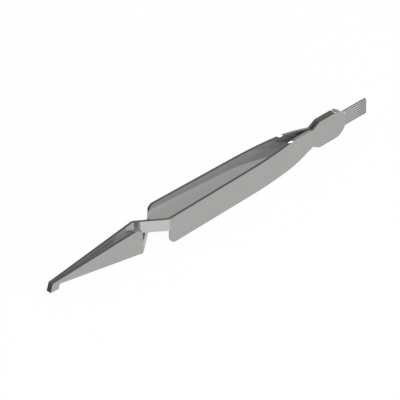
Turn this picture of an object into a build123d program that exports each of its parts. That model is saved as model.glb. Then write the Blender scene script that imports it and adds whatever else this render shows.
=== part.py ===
from build123d import *
import math
import os

# Reverse-action bracket forceps: two crossed spring arms cut and bent from flat strip, with a thin
# positioning blade welded between their pads. The jaws are closed at rest and open when the handle
# is squeezed. Millimetres. +X runs from the jaw tips to the blade, +Y to the far side and +Z up.
# The pieces are drawn from the jaw tips at the middle of the strip's width. They are written out
# with the origin at the middle of the bottom.

# Strip stock of the two arms
strip_width = 10.0
strip_thickness = 0.95

# Plan form of one arm, seen from above
contact_land = 0.8
jaw_length = 39.8
jaw_gap_rear = 3.4
neck_run = 9.35
handle_spread = 10.86
handle_front_length = 49.25
handle_front_taper = 1.1
handle_rear_length = 19.3
land_radius = 15.0
jaw_bend_radius = 2.0
handle_bend_radius = 2.2
handle_crown_radius = 160.0
pad_bend_radius = 30.0

# Side form of the jaws and of the two necks, which pass one above the other
crossing_gap = 1.2
jaw_tip_height = 1.6
jaw_root_height = 0.25
hook_length = 3.6
hook_depth = 1.8
hook_rake = 0.95
hook_rear_rake = 0.4
hook_fillet = 0.7
hook_corner = 0.15
heel_setback = 0.1
heel_radius = 3.2
heel_fillet = 0.8

# Side form of the handle and of the pad at its rear
nose_setback = 0.45
nose_radius = 2.3
nose_fillet = 0.3
waist_setback = 0.8
waist_width = 6.5
waist_radius = 52.0
waist_fillet = 0.8
shoulder_length = 2.9
shoulder_radius = 1.4
pad_length = 15.1

# Positioning blade
blade_thickness = 0.5
head_setback = 3.2
tongue_width = 5.9
tongue_length = 10.3
tongue_fillet = 0.8
tongue_corner = 0.6
groove_count = 6
groove_width = 0.4
groove_depth = 0.1
groove_margin = 0.5

# Stations along X from the jaw tips, and heights from the middle of the strip
half_width = strip_width / 2
half_gap = crossing_gap / 2
neck_front = jaw_length
neck_rear = neck_front + neck_run
crown = neck_rear + handle_front_length
pad_bend = crown + handle_rear_length
waist = pad_bend + waist_setback
pad_end = waist + pad_length
tongue_end = pad_end + tongue_length
heel = neck_front + heel_setback
nose = neck_rear + nose_setback
shoulder = waist + shoulder_length
pad_centre = pad_end - half_width
head_front = waist + head_setback

# Distances of the strip's centre line from the middle plane
jaw_offset = strip_thickness / 2
jaw_rear_offset = (jaw_gap_rear + strip_thickness) / 2
handle_offset = (handle_spread - strip_thickness) / 2
pad_offset = (blade_thickness + strip_thickness) / 2


def arm_ribbon():
    """Bent strip of the near arm at its full width, before its outline is cut."""
    path = FilletPolyline(
        (0, jaw_offset),
        (contact_land, jaw_offset),
        (neck_front, jaw_rear_offset),
        (neck_rear, -handle_offset),
        (crown, handle_front_taper - handle_offset),
        (pad_bend, -pad_offset),
        (pad_end + strip_thickness, -pad_offset),
        radius=[
            land_radius,
            jaw_bend_radius,
            handle_bend_radius,
            handle_crown_radius,
            pad_bend_radius,
        ],
    )
    return extrude(trace(path, strip_thickness), half_width, both=True)


def round_corners(face, corners):
    """The face with each named corner rounded: (x, z, radius)."""
    for x, z, radius in corners:
        corner = face.vertices().sort_by_distance((x, z, 0))[0]
        face = fillet(corner, radius)
    return face


def pad_outline():
    """Round-ended pad, from its shoulders at the waist to the rear end."""
    front = make_face(Polyline(
        (pad_centre, half_width),
        (shoulder, half_width),
        (waist, waist_width / 2),
        (waist, -waist_width / 2),
        (shoulder, -half_width),
        (pad_centre, -half_width),
        close=True,
    ))
    return front + Pos(pad_centre, 0) * Circle(half_width)


def handle_outline(side):
    """Handle that narrows to the waist in two arcs. Its nose is rounded away from the neck."""
    narrowing = half_width - waist_width / 2
    taper_start = waist - math.sqrt(2 * waist_radius * narrowing - narrowing**2)
    upper = TangentArc((taper_start, half_width), (waist, waist_width / 2), tangent=(1, 0))
    lower = TangentArc((taper_start, -half_width), (waist, -waist_width / 2), tangent=(1, 0))
    front = Polyline(
        (taper_start, half_width),
        (nose, half_width),
        (nose, -half_width),
        (taper_start, -half_width),
    )
    rear = Line((waist, waist_width / 2), (waist, -waist_width / 2))
    face = make_face([edge for line in (upper, rear, lower, front) for edge in line.edges()])
    return round_corners(face, [(nose, -side * half_width, nose_radius)])


def jaw_outline(side):
    """Jaw that widens from the hooked tip to the full width. Its heel is rounded away from the neck."""
    face = make_face(Polyline(
        (hook_rake, jaw_tip_height),
        (heel, half_width),
        (heel, -half_width),
        (hook_length + hook_rear_rake, jaw_root_height),
        (hook_length, jaw_root_height - hook_depth),
        (0, jaw_root_height - hook_depth),
        close=True,
    ))
    return round_corners(face, [
        (heel, -side * half_width, heel_radius),
        (hook_length + hook_rear_rake, jaw_root_height, hook_fillet),
        (hook_length, jaw_root_height - hook_depth, hook_corner),
        (0, jaw_root_height - hook_depth, hook_corner),
    ])


def arm_outline(side):
    """Side view of a whole arm: side is 1 where the neck runs along the top, and -1 at the bottom."""
    inner = side * half_gap
    neck_length = nose - heel + 2 * strip_thickness
    neck_centre = ((heel + nose) / 2, side * (half_gap + half_width) / 2)
    neck = Pos(*neck_centre) * Rectangle(neck_length, half_width - half_gap)
    outline = jaw_outline(side) + neck + handle_outline(side) + pad_outline()
    return round_corners(outline.face(), [
        (heel, inner, heel_fillet),
        (nose, inner, nose_fillet),
        (waist, waist_width / 2, waist_fillet),
        (waist, -waist_width / 2, waist_fillet),
        (shoulder, half_width, shoulder_radius),
        (shoulder, -half_width, shoulder_radius),
    ])


def near_arm():
    """Arm whose handle is on the near side, -Y, and whose neck runs along the top to the far jaw."""
    cut = extrude(Plane.XZ * arm_outline(1), handle_spread, both=True)
    return arm_ribbon() & cut


def far_arm():
    """Arm whose handle is on the far side, and whose neck runs along the bottom to the near jaw."""
    cut = extrude(Plane.XZ * arm_outline(-1), handle_spread, both=True)
    return mirror(arm_ribbon(), Plane.XZ) & cut


def blade_outline():
    """Side view of the blade: a round-ended head that fills the pads, and the narrower tongue."""
    head = Pos((head_front + pad_centre) / 2, 0) * Rectangle(pad_centre - head_front, strip_width)
    tongue = Pos((pad_centre + tongue_end) / 2, 0) * Rectangle(tongue_end - pad_centre, tongue_width)
    outline = head + Pos(pad_centre, 0) * Circle(half_width) + tongue
    root = pad_centre + math.sqrt(half_width**2 - (tongue_width / 2) ** 2)
    return round_corners(outline.face(), [
        (root, tongue_width / 2, tongue_fillet),
        (root, -tongue_width / 2, tongue_fillet),
        (tongue_end, tongue_width / 2, tongue_corner),
        (tongue_end, -tongue_width / 2, tongue_corner),
        (head_front, half_width, shoulder_radius),
        (head_front, -half_width, shoulder_radius),
    ])


def tongue_grooves():
    """Fine grooves along both faces of the tongue, evenly spaced over its width and open at its end."""
    pitch = (tongue_width - 2 * groove_margin - groove_width) / (groove_count - 1)
    groove_start = pad_end + groove_margin
    run = tongue_end - groove_start + strip_thickness
    heights = [(row - (groove_count - 1) / 2) * pitch for row in range(groove_count)]
    cutter = Box(run, 2 * groove_depth, groove_width)
    return [Pos(groove_start + run / 2, side * blade_thickness / 2, height) * cutter
            for height in heights for side in (-1, 1)]


def positioning_blade():
    """Thin blade between the pads, with its grooved tongue standing out at the rear."""
    return extrude(Plane.XZ * blade_outline(), blade_thickness / 2, both=True) - tongue_grooves()


parts = {
    "near_arm": near_arm(),
    "far_arm": far_arm(),
    "positioning_blade": positioning_blade(),
}
tip = parts["near_arm"].bounding_box().min.X
to_frame = Pos(-(tip + tongue_end) / 2, 0, half_width)

os.makedirs("parts", exist_ok=True)
for name, solid in parts.items():
    export_step(to_frame * solid, f"parts/{name}.step")
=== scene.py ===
"""Looks of the bracket forceps, in metres and in the frame of the CAD: steel, studio, light and camera."""
import math

import bmesh
import bpy
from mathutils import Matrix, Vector


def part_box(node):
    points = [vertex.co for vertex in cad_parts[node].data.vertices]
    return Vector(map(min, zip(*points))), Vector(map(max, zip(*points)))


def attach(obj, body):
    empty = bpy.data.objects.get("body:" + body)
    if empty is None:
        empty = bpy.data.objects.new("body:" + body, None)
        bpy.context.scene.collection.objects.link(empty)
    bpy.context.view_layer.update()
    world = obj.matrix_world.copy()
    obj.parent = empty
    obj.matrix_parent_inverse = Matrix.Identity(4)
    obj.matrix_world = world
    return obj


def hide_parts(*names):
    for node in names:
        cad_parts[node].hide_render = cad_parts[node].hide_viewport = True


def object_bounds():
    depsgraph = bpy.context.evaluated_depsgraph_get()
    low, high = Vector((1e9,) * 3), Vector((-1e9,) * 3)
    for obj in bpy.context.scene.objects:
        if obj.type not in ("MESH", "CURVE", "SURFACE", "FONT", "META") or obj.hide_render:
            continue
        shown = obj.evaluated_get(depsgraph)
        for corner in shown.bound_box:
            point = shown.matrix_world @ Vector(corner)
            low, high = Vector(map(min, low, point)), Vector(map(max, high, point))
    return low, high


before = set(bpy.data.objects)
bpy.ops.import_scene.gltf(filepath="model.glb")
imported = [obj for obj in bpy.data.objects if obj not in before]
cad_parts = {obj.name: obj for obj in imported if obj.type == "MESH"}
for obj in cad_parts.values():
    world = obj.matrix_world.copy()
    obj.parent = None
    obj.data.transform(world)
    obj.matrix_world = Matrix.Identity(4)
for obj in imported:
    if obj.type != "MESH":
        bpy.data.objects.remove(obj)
cad_low, cad_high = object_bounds()

MM = 0.001
WHITE = (1.0, 1.0, 1.0, 1.0)

# Each node, and how far its sharp edges are broken by tumbling
EDGE_BREAK = {
    "near_arm": 0.05 * MM,
    "far_arm": 0.05 * MM,
    "positioning_blade": 0.03 * MM,
}
EDGE_SEGMENTS = 3
WELD_DISTANCE = 0.0001 * MM
FLAT_ANGLE = math.radians(0.05)
SHARP_ANGLE = math.radians(30)

# Steel. The cut edges along the strip are told from its faces by how far the surface looks up or down
ARM_SHADE = (0.600, 0.604, 0.634)
# The blade's shade is painted lighter than the arms' steel: painted light on the tongue's faces between its
# grooves
BLADE_PAINTED_LIGHTER_SHADE = (0.800, 0.805, 0.840)
METALLIC = 0.8
FACE_ROUGHNESS = 0.08
EDGE_ROUGHNESS = 0.035
EDGE_UPRIGHT = (0.6, 0.8)

# Grain of the steel: how often it changes in a metre along X, Y and Z, and how much it changes the surface
FACE_GRAIN = (250.0, 4000.0, 9000.0)
EDGE_GRAIN = (7000.0, 500.0, 500.0)
CLOUDS = (90.0, 300.0, 300.0)
GRAIN_TONE = 0.22
CLOUD_TONE = 0.11
CLOUD_ROUGHNESS = 0.044
GRAIN_BUMP = 0.066
GRAIN_DEPTH = 0.01 * MM

# Tone of the blade, with painted shade in the floors of its grooves. Each pair is where it starts and where
# it is full: the depth of a groove below the face, the distance from the tongue's end, and how squarely the
# surface looks to the side
GROOVE_DEPTH = (0.03 * MM, 0.07 * MM)
GROOVE_FACING = (0.8, 0.9)
# How much the groove floors are darkened: painted shade in the grooves
GROOVE_PAINTED_SHADE = 0.55
END_DISTANCE = (4.92 * MM, 1.42 * MM)
END_TONE = 0.85
# The blade's cut edges are toned back down from its painted lighter shade
BLADE_EDGE_FACING = (0.8, 0.5)
BLADE_EDGE_TONE = 0.76

# Floor and room, as the camera sees them and as they light the tool
FLOOR_SIZE = 60.0
FLOOR_PAINT = (0.8, 0.8, 0.8, 1.0)
FLOOR_SHADOW_PAINT = (0.08, 0.08, 0.08, 1.0)
FLOOR_GLOW = 0.955
ROOM_LEVEL = 0.40
ROOM_TINT = (1.0, 0.996, 0.921, 1.0)

# What polished steel mirrors. A centre is a direction from the tool, and a spread is the pair of cosines of
# the angle from it where a change starts and where it is full
HORIZON = (0.17, 0.01)
HORIZON_LEAN = -0.60
FIELD_CENTRE = (0.577, -0.577, -0.577)
FIELD_SPREAD = (0.93, 0.55)
FIELD_LEVELS = (0.575, 0.59)
FRONT_LEFT_CENTRE = (-0.393, -0.716, -0.577)
FRONT_LEFT_SPREAD = (0.6, 0.95)
FRONT_LEFT_LEVEL = 0.30
CEILING_CENTRE = (0.25, -0.97, 0.0)
CEILING_SPREAD = (-0.7, 0.5)
CEILING_LEVELS = (0.05, 0.25)
REAR_LEFT_CENTRE = (-0.774, 0.577, -0.258)
REAR_LEFT_SPREAD = (0.7, 0.95)

# Two round lights in the reflections: their levels, and the angles where their soft edges start and end
PANEL_CENTRE = (0.800, 0.577, 0.150)
PANEL_DEGREES = (23.0, 20.0)
PANEL_LEVEL = 0.34
GLINT_CENTRE = (0.618, 0.577, 0.534)
GLINT_DEGREES = (1.7, 1.2)
GLINT_LEVEL = 3.4

# Front lamp, a metre from the tool
LAMP_DIRECTION = (0.0, -0.95, 0.3)
LAMP_SIZE = 0.5
LAMP_POWER = 4.7

# The photograph's view is isometric: the camera looks down on the -X, -Y corner
VIEW_AZIMUTH = math.radians(-45)
VIEW_ELEVATION = math.atan(1 / math.sqrt(2))
VIEW_CENTRE = Vector((-3.77, 0.03, 5.31)) * MM
VIEW_WIDTH = 128.15 * MM
LENS = 1600.0
SENSOR = 36.0
CLIP_END = 20.0


class Nodes:
    """Short way to add nodes to a tree and to join them."""

    def __init__(self, tree):
        self.tree = tree
        tree.nodes.clear()

    def add(self, kind, inputs=None, **settings):
        node = self.tree.nodes.new(kind)
        for name, value in settings.items():
            setattr(node, name, value)
        for name, value in (inputs or {}).items():
            self.set(node.inputs[name], value)
        return node

    def set(self, socket, value):
        if isinstance(value, bpy.types.NodeSocket):
            self.tree.links.new(value, socket)
        else:
            socket.default_value = value

    def math(self, operation, a, b=0.0, c=0.0):
        return self.add("ShaderNodeMath", {0: a, 1: b, 2: c}, operation=operation).outputs[0]

    def dot(self, a, b):
        node = self.add("ShaderNodeVectorMath", {0: a, 1: b}, operation="DOT_PRODUCT")
        return node.outputs["Value"]

    def split(self, vector):
        return self.add("ShaderNodeSeparateXYZ", {0: vector}).outputs

    def stretch(self, vector, factors):
        node = self.add("ShaderNodeVectorMath", {0: vector, 1: factors}, operation="MULTIPLY")
        return node.outputs["Vector"]

    def mix(self, factor, a, b):
        """Mix of two numbers. The node's sockets share their names, so they go by place."""
        return self.add("ShaderNodeMix", {0: factor, 2: a, 3: b}, data_type="FLOAT").outputs[0]

    def mix_colour(self, factor, a, b):
        return self.add("ShaderNodeMix", {0: factor, 6: a, 7: b}, data_type="RGBA").outputs[2]

    def ramp(self, value, marks, start=0.0, end=1.0):
        """Smooth step of a value between two marks, written out from start to end."""
        low, high = marks
        node = self.add(
            "ShaderNodeMapRange",
            {"Value": value, "From Min": low, "From Max": high, "To Min": start, "To Max": end},
            interpolation_type="SMOOTHSTEP",
        )
        return node.outputs["Result"]

    def noise(self, place, frequencies, detail=3.0):
        """Soft noise about zero, from -0.5 to 0.5, with its own frequency along each axis."""
        node = self.add(
            "ShaderNodeTexNoise",
            {"Vector": self.stretch(place, frequencies), "Scale": 1.0, "Detail": detail, "Roughness": 0.5},
        )
        return self.math("SUBTRACT", node.outputs["Fac"], 0.5)

    def seen_by_camera(self, path):
        """1 for a ray from the camera, straight or through glass, and 0 for any other."""
        return self.math("MAXIMUM", path["Is Camera Ray"], path["Is Transmission Ray"])


def new_material(name):
    material = bpy.data.materials.new(name)
    material.use_nodes = True
    return material, Nodes(material.node_tree)


def steel_material(name, shade, tone_and_painted_shade=None):
    """Satin steel: fine grain along the strip on its faces, and cross-ground lines on its cut edges."""
    material, n = new_material(name)
    geometry = n.add("ShaderNodeNewGeometry").outputs
    upright = n.math("ABSOLUTE", n.dot(geometry["Normal"], (0.0, 0.0, 1.0)))
    on_edge = n.ramp(upright, EDGE_UPRIGHT)

    along = n.noise(geometry["Position"], FACE_GRAIN)
    across = n.noise(geometry["Position"], EDGE_GRAIN)
    lines = n.mix(on_edge, along, across)
    clouds = n.noise(geometry["Position"], CLOUDS, detail=4.0)

    tone = n.math("MULTIPLY_ADD", lines, GRAIN_TONE, 1.0)
    tone = n.math("MULTIPLY_ADD", clouds, CLOUD_TONE, tone)
    # Extra tone for the blade, with painted shade in its grooves
    if tone_and_painted_shade:
        tone = n.math("MULTIPLY", tone, tone_and_painted_shade(n, geometry))
    colour = n.add("ShaderNodeVectorMath", {0: shade, "Scale": tone}, operation="SCALE").outputs["Vector"]
    gloss = n.ramp(upright, EDGE_UPRIGHT, FACE_ROUGHNESS, EDGE_ROUGHNESS)
    bump = n.add("ShaderNodeBump", {"Height": lines, "Strength": GRAIN_BUMP, "Distance": GRAIN_DEPTH})
    shader = n.add("ShaderNodeBsdfPrincipled", {
        "Base Color": colour,
        "Metallic": METALLIC,
        "Roughness": n.math("MULTIPLY_ADD", clouds, CLOUD_ROUGHNESS, gloss),
        "Normal": bump.outputs["Normal"],
    })
    n.add("ShaderNodeOutputMaterial", {"Surface": shader.outputs[0]})
    return material


def blade_tone_and_painted_shade(n, geometry):
    """Tone of the blade: painted shade in the floors of its grooves, its cut edges darker than its faces,
    which are painted lighter, and darker towards the tongue's end.
    """
    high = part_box("positioning_blade")[1]
    place = n.split(geometry["Position"])
    facing = n.math("ABSOLUTE", n.dot(geometry["Normal"], (0.0, 1.0, 0.0)))

    # Painted shade: the floors of the grooves are darkened
    depth = n.ramp(n.math("ABSOLUTE", place["Y"]), [high.y - mark for mark in GROOVE_DEPTH])
    groove = n.math("MULTIPLY", depth, n.ramp(facing, GROOVE_FACING))
    tone = n.math("MULTIPLY_ADD", groove, -GROOVE_PAINTED_SHADE, 1.0)
    # Darker towards the tongue's end
    end = n.ramp(place["X"], [high.x - mark for mark in END_DISTANCE], 1.0, END_TONE)
    # Cut edges toned back down from the blade's painted lighter shade
    edge = n.ramp(facing, BLADE_EDGE_FACING, 1.0, BLADE_EDGE_TONE)
    return n.math("MULTIPLY", n.math("MULTIPLY", tone, end), edge)


def finished_mesh(node):
    """Copy of the CAD node's mesh with its sharp edges broken and its round faces smooth."""
    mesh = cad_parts[node].data.copy()
    mesh.name = node + "_finished"
    shape = bmesh.new()
    shape.from_mesh(mesh)
    bmesh.ops.remove_doubles(shape, verts=shape.verts, dist=WELD_DISTANCE)
    bmesh.ops.dissolve_limit(shape, angle_limit=FLAT_ANGLE, verts=shape.verts, edges=shape.edges)
    bmesh.ops.bevel(
        shape,
        geom=[edge for edge in shape.edges if edge.calc_face_angle(0.0) > SHARP_ANGLE],
        offset=EDGE_BREAK[node],
        offset_type="OFFSET",
        segments=EDGE_SEGMENTS,
        profile=0.5,
        affect="EDGES",
        clamp_overlap=False,
    )
    for face in shape.faces:
        face.smooth = True
    shape.to_mesh(mesh)
    shape.free()
    if mesh.attributes.get("custom_normal"):
        mesh.attributes.remove(mesh.attributes["custom_normal"])
    return mesh


def finished_piece(node, material):
    """The CAD node's own form in its finished state, standing for that node."""
    mesh = finished_mesh(node)
    mesh.materials.clear()
    mesh.materials.append(material)
    piece = bpy.data.objects.new(node + "_finished", mesh)
    bpy.context.scene.collection.objects.link(piece)
    weighted = piece.modifiers.new("weighted_normals", "WEIGHTED_NORMAL")
    weighted.mode = "FACE_AREA"
    weighted.keep_sharp = True
    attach(piece, "root")
    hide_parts(node)


def floor_material():
    """Pale paint that stays white to the camera and takes only a faint shadow."""
    material, n = new_material("floor")
    path = n.add("ShaderNodeLightPath").outputs
    paint = n.add("ShaderNodeBsdfDiffuse", {"Color": FLOOR_PAINT})
    faint = n.add("ShaderNodeBsdfDiffuse", {"Color": FLOOR_SHADOW_PAINT})
    glow = n.add("ShaderNodeEmission", {"Color": WHITE, "Strength": FLOOR_GLOW})
    pale = n.add("ShaderNodeAddShader", {0: faint.outputs[0], 1: glow.outputs[0]})
    shown = n.add("ShaderNodeMixShader", {0: n.seen_by_camera(path), 1: paint.outputs[0], 2: pale.outputs[0]})
    n.add("ShaderNodeOutputMaterial", {"Surface": shown.outputs[0]})
    return material


def floor():
    """Wide floor under the tool. The world's pale field stands for it in the steel's reflections."""
    half = FLOOR_SIZE / 2
    corners = [(-half, -half), (half, -half), (half, half), (-half, half)]
    mesh = bpy.data.meshes.new("floor")
    mesh.from_pydata([(x, y, cad_low.z) for x, y in corners], [], [(0, 1, 2, 3)])
    mesh.materials.append(floor_material())
    plane = bpy.data.objects.new("floor", mesh)
    bpy.context.scene.collection.objects.link(plane)
    plane.visible_glossy = False


def soft_disc(n, direction, centre, degrees, level):
    """Round light in the surroundings, with a soft edge between two angles from its centre."""
    marks = [math.cos(math.radians(angle)) for angle in degrees]
    return n.ramp(n.dot(direction, Vector(centre).normalized()), marks, 0.0, level)


def mirrored_level(n, direction):
    """How bright the room is in the steel's reflections: a pale field, and a dim ceiling with two lights.

    The field is brighter to the front left, the ceiling is dark to the rear left, and the horizon between
    them sinks towards -X.
    """
    axes = n.split(direction)
    height = n.math("MULTIPLY_ADD", n.math("MINIMUM", axes["X"], 0.0), HORIZON_LEAN, axes["Z"])
    below = n.ramp(height, HORIZON)

    field = n.ramp(n.dot(direction, FIELD_CENTRE), FIELD_SPREAD, *FIELD_LEVELS)
    brighter = n.ramp(n.dot(direction, FRONT_LEFT_CENTRE), FRONT_LEFT_SPREAD, 0.0, FRONT_LEFT_LEVEL)
    field = n.math("ADD", field, brighter)

    ceiling = n.ramp(n.dot(direction, CEILING_CENTRE), CEILING_SPREAD, *CEILING_LEVELS)
    darker = n.ramp(n.dot(direction, REAR_LEFT_CENTRE), REAR_LEFT_SPREAD, 1.0, 0.0)
    ceiling = n.math("MULTIPLY", ceiling, darker)

    level = n.mix(below, ceiling, field)
    level = n.math("MAXIMUM", level, soft_disc(n, direction, PANEL_CENTRE, PANEL_DEGREES, PANEL_LEVEL))
    return n.math("ADD", level, soft_disc(n, direction, GLINT_CENTRE, GLINT_DEGREES, GLINT_LEVEL))


def studio():
    """World round the tool: white to the camera, an even room as light, and the soft room in reflections."""
    world = bpy.data.worlds.new("studio")
    bpy.context.scene.world = world
    world.use_nodes = True
    n = Nodes(world.node_tree)
    direction = n.add("ShaderNodeTexCoord").outputs["Generated"]
    path = n.add("ShaderNodeLightPath").outputs
    seen = n.seen_by_camera(path)
    level = n.mix(path["Is Glossy Ray"], ROOM_LEVEL, mirrored_level(n, direction))
    level = n.mix(seen, level, 1.0)
    tint = n.mix_colour(seen, ROOM_TINT, WHITE)
    sky = n.add("ShaderNodeBackground", {"Color": tint, "Strength": level})
    n.add("ShaderNodeOutputWorld", {"Surface": sky.outputs[0]})


def stand(holder, place, back):
    """Put a lamp or camera in the scene at its place, looking against the direction back."""
    holder.location = place
    holder.rotation_euler = (-back).to_track_quat("-Z", "Y").to_euler()
    bpy.context.scene.collection.objects.link(holder)


def lamp():
    """Broad soft lamp in front of the near handle, low enough to leave the upper edges dark."""
    light = bpy.data.lights.new("front_lamp", "AREA")
    light.shape = "SQUARE"
    light.size = LAMP_SIZE
    light.energy = LAMP_POWER
    holder = bpy.data.objects.new("front_lamp", light)
    holder.visible_glossy = False
    back = Vector(LAMP_DIRECTION).normalized()
    stand(holder, back, back)


def camera():
    """Long lens on the isometric line of sight, framed as in the photograph."""
    back = Vector((
        math.sin(VIEW_AZIMUTH) * math.cos(VIEW_ELEVATION),
        -math.cos(VIEW_AZIMUTH) * math.cos(VIEW_ELEVATION),
        math.sin(VIEW_ELEVATION),
    ))
    data = bpy.data.cameras.new("camera")
    data.lens = LENS
    data.sensor_width = SENSOR
    data.clip_end = CLIP_END
    holder = bpy.data.objects.new("camera", data)
    stand(holder, VIEW_CENTRE + back * VIEW_WIDTH * LENS / SENSOR, back)
    bpy.context.scene.camera = holder


arm_steel = steel_material("arm_steel_finish", ARM_SHADE)
blade_steel = steel_material("blade_steel_finish", BLADE_PAINTED_LIGHTER_SHADE, blade_tone_and_painted_shade)
finished_piece("near_arm", arm_steel)
finished_piece("far_arm", arm_steel)
finished_piece("positioning_blade", blade_steel)
floor()
studio()
lamp()
camera()
bpy.context.scene.view_settings.view_transform = "Standard"
